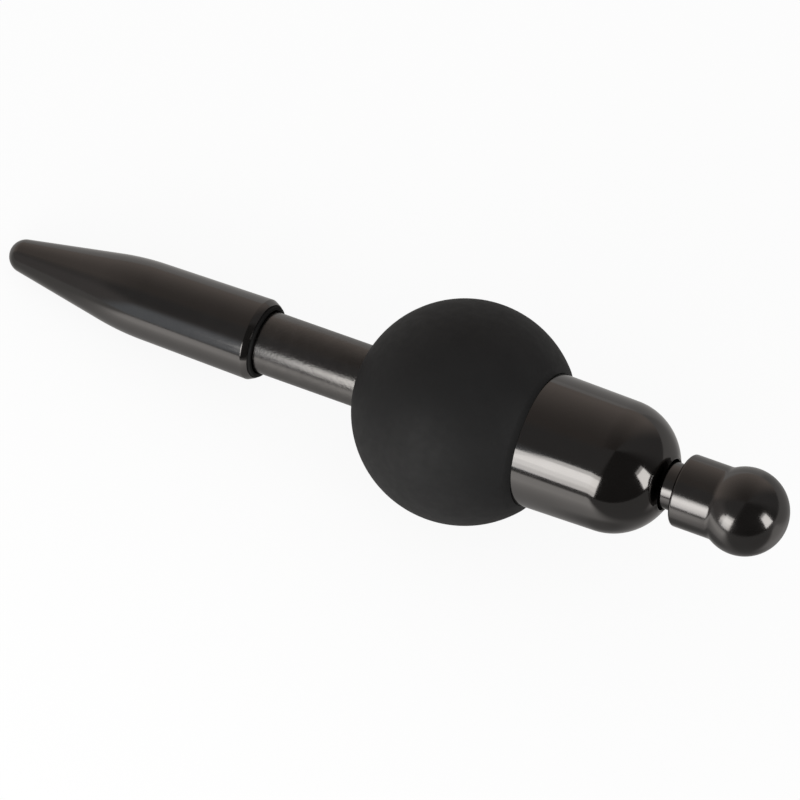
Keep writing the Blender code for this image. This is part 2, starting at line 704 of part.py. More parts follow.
def make_button(axis):
    """Push knob, the clip that keeps it in and the switch's plunger."""
    turned("push_knob", knob_outline(), STEPS_MEDIUM, GUNMETAL, axis)
    clip_bore = NECK_RADIUS - CLIP_GROOVE + FINE_GAP
    clip = turned(
        "retaining_clip", tube_outline(CLIP_AT + CLIP_THICKNESS, CLIP_AT, CLIP_RADIUS, clip_bore),
        STEPS_MEDIUM, STEEL, axis,
    )
    slot = box_mesh(
        "clip_slot_cutter",
        (2 * CLIP_RADIUS, clip_bore, CLIP_THICKNESS + 2 * GAP),
        (-CLIP_RADIUS, 0, CLIP_AT + CLIP_THICKNESS / 2),
    )
    cut(clip, slot, axis)
    plunger_bottom = SWITCH_AT + SWITCH_FLOOR + BUTTON_TRAVEL + GAP
    plunger_top = NECK_END_AT - GAP
    turned(
        "switch_plunger", rod_outline(plunger_top, plunger_bottom, PLUNGER_RADIUS), STEPS_SMALL,
        WHITE_PLASTIC, axis,
    )


def main():
    rise = rest_angle()
    far_right = KNOB_AT * math.cos(rise) + KNOB_RADIUS
    far_left = NOSE_AT * math.cos(rise) - NOSE_RADIUS
    ball_middle = (-(far_right + far_left) / 2, 0, BALL_RADIUS)
    axis = empty("product_axis", None, ball_middle, (0, math.pi / 2 - rise, 0))
    across = Euler((0, rise, 0)).to_matrix() @ Euler((-math.pi / 2, 0, 0)).to_matrix()
    motor = empty("motor_axis", axis, (0, 0, MOTOR_AT), across.to_euler())

    make_tip(axis)
    turned("stopper_ball", ball_outline(), STEPS_BALL, SILICONE, axis)
    make_plug(axis)
    make_cells(axis)
    make_contacts(axis)
    make_housing(axis)
    make_motor(axis, motor)
    make_wires(axis)
    make_board(axis)
    make_button(axis)
    print(f"axis rises {math.degrees(rise):.3f} degrees from {Vector(ball_middle) / MM} mm")


for leftover in list(bpy.data.objects):
    bpy.data.objects.remove(leftover, do_unlink=True)
PARTS = bpy.data.collections.new("battery_plug_toy")
CUTTERS = bpy.data.collections.new("cutters")
bpy.context.scene.collection.children.link(PARTS)
bpy.context.scene.collection.children.link(CUTTERS)
main()
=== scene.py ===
"""Looks of a battery-powered plug that lies on its soft ball: turned shells, finishes and a small studio."""

import json
import math

import bpy
from mathutils import Euler, Matrix, Vector

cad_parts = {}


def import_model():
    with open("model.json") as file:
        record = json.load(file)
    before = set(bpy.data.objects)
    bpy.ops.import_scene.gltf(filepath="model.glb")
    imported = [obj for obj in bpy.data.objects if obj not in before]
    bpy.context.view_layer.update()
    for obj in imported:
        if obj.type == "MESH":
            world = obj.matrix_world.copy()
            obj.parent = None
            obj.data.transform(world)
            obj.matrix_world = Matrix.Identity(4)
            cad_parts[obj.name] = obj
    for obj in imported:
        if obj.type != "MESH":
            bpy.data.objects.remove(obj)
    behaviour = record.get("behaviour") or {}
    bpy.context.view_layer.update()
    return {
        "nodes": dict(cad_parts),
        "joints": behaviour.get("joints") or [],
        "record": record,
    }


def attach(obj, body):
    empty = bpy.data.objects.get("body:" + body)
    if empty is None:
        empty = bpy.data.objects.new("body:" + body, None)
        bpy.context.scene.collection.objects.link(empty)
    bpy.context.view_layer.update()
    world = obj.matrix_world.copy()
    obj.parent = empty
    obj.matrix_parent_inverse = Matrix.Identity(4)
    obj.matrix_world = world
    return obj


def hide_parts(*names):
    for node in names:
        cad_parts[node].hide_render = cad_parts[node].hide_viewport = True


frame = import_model()

MM = 0.001

# Fits, as in the construction
GAP = 0.3 * MM
FINE_GAP = 0.15 * MM

# Sizes of the pieces that show
BALL_RADIUS = 15.0 * MM
BALL_GRIP = 3.2 * MM
BALL_TRAVEL = 15.1 * MM
SEAT_DEPTH = 0.4 * MM
BALL_LAND = 0.3 * MM
FRONT_LEAN = 0.6 * MM  # the skin stops this far out from the front's edge and slopes in to the housing
STEM_RADIUS = 4.3 * MM
STEM_WALL = 1.0 * MM
STEM_SEAT = 15.0 * MM
SLEEVE_LENGTH = 39.9 * MM
SLEEVE_REAR_RADIUS = 5.62 * MM
TAPER_LENGTH = 19.0 * MM
TAPER_RADIUS = 5.33 * MM
TAPER_BLEND = 40.0 * MM
NOSE_RADIUS = 2.35 * MM
LIP_LENGTH = 1.2 * MM
LIP_ROUND = 0.3 * MM
TIP_RING_WALL = 0.4 * MM
TIP_RING_LENGTH = 1.2 * MM
TIP_RING_RECESS = 0.25 * MM
HOUSING_RADIUS = 9.13 * MM
DOME_RADIUS = 8.92 * MM
DOME_DEPTH = 8.49 * MM
DOME_END_AT = 29.963 * MM  # along the axis from the ball's middle
SHOULDER_ROUND = 0.08 * MM  # small enough to hide behind the ball's front
SKIRT_RADIUS = 8.4 * MM
HOUSING_BORE = 7.2 * MM
END_WALL = 3.04 * MM
INNER_FACE_RADIUS = 5.0 * MM
END_LIP = 0.8 * MM
RIM_ROUND = 0.2 * MM
RIM_SHARE = 0.06  # radians of the dome's arc left out for the round of its rim
FLANGE_THICKNESS = 1.6 * MM
SEAL_THICKNESS = 1.0 * MM
BUTTON_GAP = 1.99 * MM
NECK_RADIUS = 3.2 * MM
NECK_END_AT = 24.623 * MM
COLLAR_RADIUS = 4.93 * MM
COLLAR_ROUND = 0.45 * MM
KNOB_RADIUS = 5.84 * MM
KNOB_OFFSET = 8.83 * MM
KNOB_FILLET = 1.4 * MM
CLIP_THICKNESS = 0.6 * MM
CLIP_LAND = 0.5 * MM
CLIP_GROOVE = 0.5 * MM
GLAND_WALL = 0.6 * MM
GLAND_FLANGE = 0.7 * MM
GLAND_FLANGE_THICKNESS = 0.6 * MM
EDGE = 0.12 * MM  # small rounds on edges
FRONT_INNER_ROUND = EDGE / 4
FRONT_OUTER_ROUND = 10 * EDGE
SNUG = 0.02 * MM  # soft rubber closes on the shell beside it and leaves only this

# Radii and places that follow
BALL_BORE = STEM_RADIUS + GAP
BALL_POCKET = SKIRT_RADIUS + GAP
BALL_SEAT = HOUSING_RADIUS + GAP
FRONT_RADIUS = BALL_SEAT + BALL_LAND
TIP_RING_BORE = STEM_RADIUS + FINE_GAP
LIP_BORE = TIP_RING_BORE + TIP_RING_WALL + FINE_GAP
GLAND_BORE = NECK_RADIUS + FINE_GAP
GLAND_RADIUS = GLAND_BORE + GLAND_WALL
GLAND_SEAT_RADIUS = GLAND_RADIUS + FINE_GAP
OPENING_RADIUS = NECK_RADIUS + GAP
BALL_REAR_AT = -math.sqrt(BALL_RADIUS**2 - BALL_BORE**2)
POCKET_FLOOR_AT = BALL_REAR_AT + BALL_GRIP
FLANGE_AT = POCKET_FLOOR_AT + GAP
MOUTH_AT = FLANGE_AT + FLANGE_THICKNESS + SEAL_THICKNESS + 2 * GAP
INNER_FACE_AT = DOME_END_AT - END_WALL
DOME_AT = DOME_END_AT - DOME_DEPTH * math.sqrt(1 - (OPENING_RADIUS / DOME_RADIUS) ** 2)
FRONT_AT = math.sqrt(BALL_RADIUS**2 - FRONT_RADIUS**2)
SEAT_FLOOR_AT = FRONT_AT - SEAT_DEPTH
SHOULDER_AT = SEAT_FLOOR_AT + GAP
COLLAR_AT = DOME_END_AT + BUTTON_GAP
KNOB_AT = COLLAR_AT + KNOB_OFFSET
CLIP_AT = NECK_END_AT + CLIP_LAND
GLAND_AT = INNER_FACE_AT - GAP - GLAND_FLANGE_THICKNESS
SLEEVE_END_AT = BALL_REAR_AT - BALL_TRAVEL - GAP
STEM_TOP_AT = FLANGE_AT - GAP
STEM_END_AT = SLEEVE_END_AT - STEM_SEAT
TIP_AT = SLEEVE_END_AT - SLEEVE_LENGTH
NOSE_AT = TIP_AT + NOSE_RADIUS

# Camera: it looks steeply down, level from side to side; the ball's middle lies at a named pixel
IMAGE_SIDE = 800
BALL_PIXEL = (464.8, 412.1)
CAMERA_AZIMUTH = math.radians(-63.977)
CAMERA_ELEVATION = math.radians(65.447)
CAMERA_DISTANCE = 724.3 * MM
CAMERA_LENS = 247.5
CAMERA_SENSOR = 36.0

# Studio: left and right are along X, and lamps face their azimuth in degrees
AMBIENT = 0.86
LEFT_SOFTBOX_Y = -150 * MM
LEFT_SOFTBOX_AZIMUTH = 90
LEFT_SOFTBOX_COLOUR = (1, 0.985, 0.96)
# Parts, brightest between 72 and 118: name, left, right, low, high in millimetres, and level
LEFT_SOFTBOX = [
    ("softbox_low", -45, 19.5, 27, 48, 2.7),
    ("softbox_middle", -52, 19.5, 48, 72, 3.5),
    ("softbox_high", -55, 19.5, 72, 118, 4.15),
    ("softbox_top", -64, 19.5, 118, 144, 2.4),
    ("softbox_side_high", -93, -55, 62, 118, 3.0),
    ("softbox_side_low", -82, -55, 34, 66, 2.2),
]
RIGHT_SOFTBOX_X = 318 * MM
RIGHT_SOFTBOX_Y = -36 * MM
RIGHT_SOFTBOX_WIDTH = 95 * MM
RIGHT_SOFTBOX_AZIMUTH = 173.5
RIGHT_SOFTBOX_COLOUR = (1, 0.99, 0.97)
# Parts: name, middle's height and own height in millimetres, and level
RIGHT_SOFTBOX = [
    ("right_softbox", 124, 160, 4.0),
    ("right_softbox_top", 226, 44, 1.2),
]

# The room that gloss sees. A pair is where a part of it goes from none to full, as an azimuth in radians
# or, for heights, as the upward share of the direction.
ROOM_COLOUR = (0.125, 0.12, 0.118)
FRONT_COLOUR = (0.045, 0.042, 0.04)
FRONT_LEFT_EDGE = (-1.85, -1.6)
FRONT_RIGHT_EDGE = (0.6, 0.1)
WALL_COLOUR = (0.44, 0.385, 0.35)
WALL_TOP_COLOUR = (0.04, 0.036, 0.034)
WALL_HEIGHTS = (0.15, 1.0)
WALL_COLOUR_SHARES = (1.0, 0.12)
WALL_RIGHT_EDGE = (-2.25, -1.7)  # both of the wall's edges are measured from the left
WALL_LEFT_EDGE = (0.42, -0.1)
SIDE_COLOUR = (0.23, 0.215, 0.21)
SIDE_NEAR_COLOUR = (0.41, 0.44, 0.47)
SIDE_TOP_EDGE = (0.66, 0.4)
SIDE_NEAR_EDGE = (-1.86, -1.98)
SIDE_FAR_EDGE = (-3.14, -2.9)
SIDE_COLOUR_EDGE = (-2.32, -2.14)

# The floor that gloss sees, with tones beside white; its light and shade there are painted. A pair is again
# where a part goes from none to full.
FLOOR_SIZE = 3.0
FLOOR_COLOUR = (0.8, 0.8, 0.8)
FLOOR_ROUGHNESS = 0.9
FLOOR_TINT = (1.0, 0.975, 0.95)
CAMERA_WHITE_SHARE = 0.9  # the rest of what the camera sees is lit floor, which keeps the shadow
SHEET_FAN = 95 * MM  # the sheet's tones fan out from a point this far left of the middle
# Painted shade: the sheet darkens from white towards the object, as the slope seen from the fan's point
# falls
SHEET_SLOPES = (0.08, 0.62)
SHEET_PAINTED_SHADE_TONES = (0.33, 1.06)
SHEET_RIGHT_EDGE = (66 * MM, 45 * MM)
SHEET_RIGHT_LEAN = 0.31
SHEET_LEFT_EDGE = (-50 * MM, -37 * MM)
SHEET_LEFT_LEAN = 0.42
SHEET_NEAR_EDGE = (-240 * MM, -170 * MM)
SHEET_BACK_EDGE = (0.0, -8 * MM)
BEYOND_TONE = 0.17  # past the sheet's right and near edges
LEFT_TONE = 0.31  # past its left edge
BEHIND_TONES = (0.53, 0.43, 0.32)  # from left to right
BEHIND_LEFT_EDGE = (-40 * MM, -10 * MM)
BEHIND_RIGHT_EDGE = (42 * MM, 56 * MM)
# A painted pool of light: a brighter patch on the floor to the right of the object, as gloss sees it
LIT_PATCH_TONE = 0.56
LIT_PATCH_LEFT_EDGE = (60 * MM, 76 * MM)
LIT_PATCH_RIGHT_EDGE = (230 * MM, 130 * MM)
LIT_PATCH_NEAR_EDGE = (-17 * MM, -8 * MM)
LIT_PATCH_BACK_EDGE = (20 * MM, 8 * MM)
# A painted shadow: around this spot in front of the housing, the floor as gloss sees it darkens to this
# share
SHADOW_SPOT_MIDDLE = (37 * MM, -19 * MM)
SHADOW_SPOT_RADII = (5 * MM, 15 * MM)
SHADOW_SPOT_SHARE = 0.5

STEPS_ROUND = 192
STEPS_HIDDEN = 96
SHARP_ANGLE = math.radians(35)
TOUCHING = 1e-7  # metres; points nearer than this are one


# ---------------------------------------------------------------- the product's axis, from the frame


def joint(name):
    return next(each for each in frame["joints"] if each["name"] == name)


def product_axis():
    """Places local Z on the axis towards the knob, with zero at the ball's middle and X hanging down."""
    middle = Vector(joint("stem_turn")["pos_m"])
    along = -Vector(joint("ball_slide")["axis"]).normalized()
    across = Vector((0, 1, 0))
    down = across.cross(along)
    turn = Matrix((down, across, along)).transposed()
    return Matrix.Translation(middle) @ turn.to_4x4()


AXIS = product_axis()


# ---------------------------------------------------------------- outlines, as (along, radius) pairs


def arc(centre, radii, start, end, count):
    points = []
    for index in range(count + 1):
        angle = start + (end - start) * index / count
        points.append((centre[0] + radii[0] * math.cos(angle), centre[1] + radii[1] * math.sin(angle)))
    return points


def fillet(before, corner, after, radius, count):
    """The arc that rounds a corner between two straight stretches."""
    corner = Vector(corner)
    back = (Vector(before) - corner).normalized()
    on = (Vector(after) - corner).normalized()
    half = back.angle(on) / 2
    centre = corner + (back + on).normalized() * radius / math.sin(half)
    first = corner + back * radius / math.tan(half) - centre
    last = corner + on * radius / math.tan(half) - centre
    sweep = first.angle_signed(last)
    points = []
    for index in range(count + 1):
        spoke = Matrix.Rotation(-sweep * index / count, 2) @ first
        points.append(tuple(centre + spoke))
    return points


def eased(outline, radius=EDGE, count=4):
    """A closed outline of straight stretches with all its corners rounded."""
    points = []
    for index, corner in enumerate(outline):
        points += fillet(outline[index - 1], corner, outline[(index + 1) % len(outline)], radius, count)
    return points


def tangent_angle(centre, radius, point):
    """Where a line from the point touches the circle, on the side away from the axis."""
    reach = Vector(point) - Vector(centre)
    return math.atan2(reach.y, reach.x) + math.acos(radius / reach.length)


def sleeve_outline():
    shoulder = (TIP_AT + TAPER_LENGTH, TAPER_RADIUS)
    lip_start = (SLEEVE_END_AT - LIP_LENGTH, SLEEVE_REAR_RADIUS)
    lip_end = (SLEEVE_END_AT, LIP_BORE)
    lip = fillet((lip_start[0], LIP_BORE), lip_end, lip_start, EDGE, 4)
    lip += fillet(lip_end, lip_start, shoulder, LIP_ROUND, 6)
    touch = tangent_angle((NOSE_AT, 0), NOSE_RADIUS, shoulder)
    nose = arc((NOSE_AT, 0), (NOSE_RADIUS, NOSE_RADIUS), touch, math.pi, 40)
    bore_floor = STEM_END_AT - GAP
    recess_floor = SLEEVE_END_AT - TIP_RING_RECESS - TIP_RING_LENGTH - GAP
    bore = [
        (bore_floor, 0),
        (bore_floor, STEM_RADIUS + GAP),
        (recess_floor, STEM_RADIUS + GAP),
        (recess_floor, LIP_BORE),
    ]
    return bore + lip + fillet(lip_start, shoulder, nose[0], TAPER_BLEND, 24) + nose


def housing_outline():
    dome_side = math.acos(OPENING_RADIUS / DOME_RADIUS)
    rim_middle = (DOME_END_AT - RIM_ROUND, OPENING_RADIUS + RIM_ROUND)
    rim = arc(rim_middle, (RIM_ROUND, RIM_ROUND), -math.pi / 2, 0, 6)
    dome_start = math.pi / 2 - dome_side + RIM_SHARE
    dome = arc((DOME_AT, 0), (DOME_DEPTH, DOME_RADIUS), dome_start, math.pi / 2, 64)
    shoulder = fillet(
        (DOME_AT, DOME_RADIUS), (SHOULDER_AT, HOUSING_RADIUS), (SHOULDER_AT, SKIRT_RADIUS),
        SHOULDER_ROUND, 12,
    )
    skirt_middle = (MOUTH_AT, (SKIRT_RADIUS + HOUSING_BORE) / 2)
    mouth = fillet(
        (SHOULDER_AT, SKIRT_RADIUS), (MOUTH_AT, SKIRT_RADIUS), skirt_middle, EDGE, 4
    ) + fillet(skirt_middle, (MOUTH_AT, HOUSING_BORE), (DOME_AT, HOUSING_BORE), EDGE, 4)
    inner_side = math.acos(INNER_FACE_RADIUS / HOUSING_BORE)
    inner_depth = (INNER_FACE_AT - DOME_AT) / math.sin(inner_side)
    inside = arc(
        (DOME_AT, 0), (inner_depth, HOUSING_BORE), math.pi / 2, math.pi / 2 - inner_side, 16
    )
    outside = rim + dome + shoulder + [(SHOULDER_AT, SKIRT_RADIUS)]
    seat = [
        (INNER_FACE_AT, GLAND_SEAT_RADIUS),
        (DOME_END_AT - END_LIP, GLAND_SEAT_RADIUS),
        (DOME_END_AT - END_LIP, OPENING_RADIUS),
    ]
    return outside + mouth + inside + seat


def ball_outline():
    """The ball with its pocket; its front slopes in to the housing, and both its ends are rounded."""
    lean_radius = FRONT_RADIUS + FRONT_LEAN
    start = math.asin(lean_radius / BALL_RADIUS)
    seat = HOUSING_RADIUS + SNUG
    end = math.atan2(BALL_BORE, BALL_REAR_AT)
    skin = arc((0, 0), (BALL_RADIUS, BALL_RADIUS), start, end, 96)
    corners = [
        (POCKET_FLOOR_AT, BALL_BORE),
        (POCKET_FLOOR_AT, BALL_POCKET),
        (SEAT_FLOOR_AT, BALL_POCKET),
        (SEAT_FLOOR_AT, seat),
    ]
    front = (FRONT_AT, seat)
    mouth = fillet(corners[-1], front, skin[0], FRONT_INNER_ROUND, 4)
    mouth += fillet(front, skin[0], skin[1], FRONT_OUTER_ROUND, 4)
    rear = fillet(skin[-2], skin[-1], corners[0], EDGE, 4)
    return mouth + skin[1:-1] + rear + corners


def knob_outline():
    """Ball, collar and neck in one, with a groove for the clip."""
    fillet_middle = (
        KNOB_AT - math.sqrt((KNOB_RADIUS + KNOB_FILLET) ** 2 - (COLLAR_RADIUS + KNOB_FILLET) ** 2),
        COLLAR_RADIUS + KNOB_FILLET,
    )
    blend = math.atan2(fillet_middle[1], fillet_middle[0] - KNOB_AT)
    ball = arc((KNOB_AT, 0), (KNOB_RADIUS, KNOB_RADIUS), 0, blend, 72)
    hollow = arc(fillet_middle, (KNOB_FILLET, KNOB_FILLET), blend - math.pi, -math.pi / 2, 12)
    edge_middle = (COLLAR_AT + COLLAR_ROUND, COLLAR_RADIUS - COLLAR_ROUND)
    edge = arc(edge_middle, (COLLAR_ROUND, COLLAR_ROUND), math.pi / 2, math.pi, 10)
    groove_top = CLIP_AT + CLIP_THICKNESS + FINE_GAP
    groove_bottom = CLIP_AT - FINE_GAP
    neck = [
        (COLLAR_AT, NECK_RADIUS),
        (groove_top, NECK_RADIUS),
        (groove_top, NECK_RADIUS - CLIP_GROOVE),
        (groove_bottom, NECK_RADIUS - CLIP_GROOVE),
        (groove_bottom, NECK_RADIUS),
        (NECK_END_AT, NECK_RADIUS),
        (NECK_END_AT, 0),
    ]
    return ball + hollow[1:] + edge + neck


def stem_outline():
    inner = STEM_RADIUS - STEM_WALL
    return eased([
        (STEM_TOP_AT, STEM_RADIUS),
        (STEM_END_AT, STEM_RADIUS),
        (STEM_END_AT, inner),
        (STEM_TOP_AT, inner),
    ])


def tip_ring_outline():
    top = SLEEVE_END_AT
    foot = SLEEVE_END_AT - TIP_RING_RECESS - TIP_RING_LENGTH
    outer = LIP_BORE - SNUG
    return eased([
        (top, outer),
        (foot, outer),
        (foot, TIP_RING_BORE),
        (top, TIP_RING_BORE),
    ])


def gland_outline():
    end = DOME_END_AT - END_LIP - GAP
    flange_radius = GLAND_RADIUS + GLAND_FLANGE
    return eased([
        (end, GLAND_RADIUS),
        (GLAND_AT + GLAND_FLANGE_THICKNESS, GLAND_RADIUS),
        (GLAND_AT + GLAND_FLANGE_THICKNESS, flange_radius),
        (GLAND_AT, flange_radius),
        (GLAND_AT, GLAND_BORE),
        (end, GLAND_BORE),
    ])


# ---------------------------------------------------------------- materials


class Look:
    """A Principled material and short ways to add nodes to it."""

    def __init__(self, name, colour, roughness, metallic=0.0, **sockets):
        self.material = bpy.data.materials.new(name)
        self.material.use_nodes = True
        self.nodes = self.material.node_tree.nodes
        self.links = self.material.node_tree.links
        self.shader = self.nodes["Principled BSDF"]
        self.shader.inputs["Base Color"].default_value = (*colour, 1)
        self.shader.inputs["Roughness"].default_value = roughness
        self.shader.inputs["Metallic"].default_value = metallic
        for socket, value in sockets.items():
            self.shader.inputs[socket].default_value = value
        self.place = self.nodes.new("ShaderNodeTexCoord").outputs["Object"]
        self.normal = None

    def stretched(self, stretch):
        """Places measured along the product's own axes, each one divided by its stretch."""
        mapping = self.nodes.new("ShaderNodeMapping")
        mapping.vector_type = "TEXTURE"
        mapping.inputs["Location"].default_value = AXIS.translation
        mapping.inputs["Rotation"].default_value = AXIS.to_euler()
        mapping.inputs["Scale"].default_value = stretch
        self.links.new(self.place, mapping.inputs["Vector"])
        return mapping.outputs["Vector"]

    def noise(self, size, detail=3.0, stretch=(1, 1, 1)):
        """Soft random grain, with grains of about the given size in metres."""
        texture = self.nodes.new("ShaderNodeTexNoise")
        texture.inputs["Scale"].default_value = 1 / size
        texture.inputs["Detail"].default_value = detail
        self.links.new(self.stretched(stretch), texture.inputs["Vector"])
        return texture.outputs["Fac"]

    def ranged(self, value, low, high, start=0.3, end=0.7):
        node = self.nodes.new("ShaderNodeMapRange")
        node.inputs["From Min"].default_value = start
        node.inputs["From Max"].default_value = end
        node.inputs["To Min"].default_value = low
        node.inputs["To Max"].default_value = high
        self.links.new(value, node.inputs["Value"])
        return node.outputs["Result"]

    def mixed(self, factor, first, second):
        node = self.nodes.new("ShaderNodeMix")
        node.data_type = "RGBA"
        node.inputs["A"].default_value = (*first, 1)
        node.inputs["B"].default_value = (*second, 1)
        self.links.new(factor, node.inputs["Factor"])
        return node.outputs["Result"]

    def bump(self, height, depth):
        """Relief whose height runs over the given depth in metres."""
        node = self.nodes.new("ShaderNodeBump")
        node.inputs["Distance"].default_value = depth
        self.links.new(height, node.inputs["Height"])
        if self.normal:
            self.links.new(self.normal, node.inputs["Normal"])
        self.normal = node.outputs["Normal"]

    def set(self, socket, value):
        self.links.new(value, self.shader.inputs[socket])

    def done(self):
        if self.normal:
            self.links.new(self.normal, self.shader.inputs["Normal"])
        return self.material


def polished_metal(name, colour, roughness, wave=0.6 * MM, wave_depth=0.0004 * MM):
    """Dark coated metal, polished: faint waviness, faint turning marks and a little uneven gloss."""
    look = Look(name, colour, roughness, 1.0)
    tone = look.noise(6 * MM)
    look.set("Base Color", look.mixed(look.ranged(tone, 0, 1), colour, [c * 1.07 for c in colour]))
    gloss = look.noise(2 * MM, 5)
    look.set("Roughness", look.ranged(gloss, roughness * 0.85, roughness * 1.2))
    look.bump(look.noise(wave, 2), wave_depth)
    look.bump(look.noise(0.25 * MM, 2, (20, 20, 1)), wave_depth / 8)
    return look.done()


def grained_metal(name, colour, roughness, grain=0.26 * MM, depth=0.025 * MM):
    """The same coating over blasted metal, whose grain breaks up the highlight."""
    look = Look(name, colour, roughness, 1.0)
    tone = look.noise(1.5 * MM, 5)
    look.set("Base Color", look.mixed(look.ranged(tone, 0, 1), colour, [c * 1.15 for c in colour]))
    look.set("Roughness", look.ranged(look.noise(0.5 * MM, 6), roughness * 0.8, roughness * 1.25))
    look.bump(look.noise(grain, 4), depth)
    return look.done()


def soft_rubber(name, colour, roughness, grain, depth):
    """Moulded silicone or rubber: a fine matte skin with a slightly uneven tone."""
    look = Look(name, colour, roughness, IOR=1.41)
    tone = look.noise(5 * MM, 4)
    look.set("Base Color", look.mixed(look.ranged(tone, 0, 1), colour, [c * 1.25 for c in colour]))
    look.set("Roughness", look.ranged(look.noise(1.2 * MM, 5), roughness * 0.92, roughness * 1.06))
    look.bump(look.noise(grain, 4), depth)
    look.bump(look.noise(2.5 * MM, 2), depth * 1.5)
    return look.done()


def plain_metal(name, colour, roughness):
    """Turned or drawn metal inside the product, with fine marks and some tarnish."""
    look = Look(name, colour, roughness, 1.0)
    tarnish = look.noise(1.8 * MM, 6)
    look.set("Base Color", look.mixed(look.ranged(tarnish, 0, 1), colour, [c * 0.78 for c in colour]))
    look.set("Roughness", look.ranged(look.noise(0.7 * MM, 5), roughness * 0.8, roughness * 1.3))
    look.bump(look.noise(0.12 * MM, 3, (1, 1, 5)), 0.002 * MM)
    return look.done()


def moulded_plastic(name, colour, roughness):
    """Injection-moulded plastic with a fine spark-eroded skin."""
    look = Look(name, colour, roughness)
    flow = look.noise(3 * MM, 3)
    look.set("Base Color", look.mixed(look.ranged(flow, 0, 1), colour, [c * 0.88 for c in colour]))
    look.set("Roughness", look.ranged(look.noise(0.5 * MM, 4), roughness * 0.9, roughness * 1.15))
    look.bump(look.noise(0.1 * MM, 3), 0.004 * MM)
    return look.done()


def laminate(name, colour, roughness):
    """Solder-masked board: glass weave under a green lacquer."""
    look = Look(name, colour, roughness)
    weave = look.nodes.new("ShaderNodeTexWave")
    weave.inputs["Scale"].default_value = 1 / (1.2 * MM)
    weave.inputs["Distortion"].default_value = 0.6
    look.links.new(look.stretched((1, 1, 1)), weave.inputs["Vector"])
    threads = weave.outputs["Fac"]
    look.set("Base Color", look.mixed(threads, colour, [c * 1.25 for c in colour]))
    look.set("Roughness", look.ranged(look.noise(0.6 * MM), roughness * 0.9, roughness * 1.1))
    look.bump(threads, 0.003 * MM)
    return look.done()


COATING = (0.142, 0.137, 0.134)
LOOKS = {
    "tip_metal": polished_metal("tip_metal", COATING, 0.135),
    "stem_metal": grained_metal("stem_metal", (0.145, 0.14, 0.136), 0.2),
    "housing_finish": polished_metal("housing_finish", COATING, 0.095),
    "knob_finish": polished_metal("knob_finish", COATING, 0.155),
    "silicone": soft_rubber("silicone", (0.0085, 0.0085, 0.0088), 0.66, 0.11 * MM, 0.006 * MM),
    "seal_rubber": soft_rubber("seal_rubber", (0.004, 0.004, 0.004), 0.8, 0.09 * MM, 0.004 * MM),
    "steel": plain_metal("steel", (0.62, 0.61, 0.59), 0.3),
    "cell_metal": plain_metal("cell_metal", (0.66, 0.65, 0.62), 0.22),
    "brass": plain_metal("brass", (0.72, 0.53, 0.26), 0.3),
    "copper": plain_metal("copper", (0.72, 0.34, 0.18), 0.38),
    "white_plastic": moulded_plastic("white_plastic", (0.75, 0.75, 0.72), 0.5),
    "black_plastic": moulded_plastic("black_plastic", (0.02, 0.02, 0.02), 0.45),
    "board": laminate("board", (0.02, 0.16, 0.06), 0.4),
    "red_plastic": moulded_plastic("red_plastic", (0.5, 0.02, 0.02), 0.5),
}


# ---------------------------------------------------------------- pieces


def turned(name, outline, steps=STEPS_ROUND):
    """A solid of revolution about the product's axis; an outline off the axis closes on itself."""
    mesh = bpy.data.meshes.new(name)
    snapped = [(along, radius if radius > TOUCHING else 0) for along, radius in outline]
    points = []
    for along, radius in snapped:
        spot = (radius, 0, along)
        if not points or (Vector(spot) - Vector(points[-1])).length > TOUCHING:
            points.append(spot)
    edges = [(index, index + 1) for index in range(len(points) - 1)]
    if snapped[0][1] > 0:
        edges.append((len(points) - 1, 0))
    mesh.from_pydata(points, edges, [])
    piece = bpy.data.objects.new(name, mesh)
    bpy.context.scene.collection.objects.link(piece)
    turn = piece.modifiers.new("turn", "SCREW")
    turn.steps = steps
    turn.render_steps = steps
    turn.use_merge_vertices = True
    turn.merge_threshold = TOUCHING
    bpy.context.view_layer.update()
    evaluated = piece.evaluated_get(bpy.context.evaluated_depsgraph_get())
    solid = bpy.data.meshes.new_from_object(evaluated)
    piece.modifiers.clear()
    piece.data = solid
    solid.transform(AXIS)
    solid.shade_smooth()
    solid.set_sharp_from_angle(angle=SHARP_ANGLE)
    return piece


def place(name, outline, body, node, slot, steps=STEPS_ROUND):
    """Adds a turned piece that stands for a CAD node."""
    piece = turned(name, outline, steps)
    piece.data.materials.clear()
    piece.data.materials.append(LOOKS[slot])
    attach(piece, body)
    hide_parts(node)
    return piece


def make_pieces():
    place("tip_sleeve_shell", sleeve_outline(), "stem", "tip_sleeve", "tip_metal")
    place("tip_ring_seal", tip_ring_outline(), "stem", "tip_ring", "seal_rubber", STEPS_HIDDEN)
    place("stem_tube_skin", stem_outline(), "stem", "stem_tube", "stem_metal")
    place("stopper_ball_skin", ball_outline(), "ball", "stopper_ball", "silicone")
    place("housing_shell", housing_outline(), "housing", "housing", "housing_finish")
    place("button_gland_ring", gland_outline(), "housing", "button_gland", "seal_rubber", STEPS_HIDDEN)
    place("push_knob_body", knob_outline(), "button", "push_knob", "knob_finish")


def dress_frame():
    """Gives every CAD node that stays its procedural finish, by the record's slots."""
    for row in frame["record"]["subparts"]:
        node = frame["nodes"][row["node"]]
        node.data.materials.clear()
        node.data.materials.append(LOOKS[row["material_slot"]])


# ---------------------------------------------------------------- studio


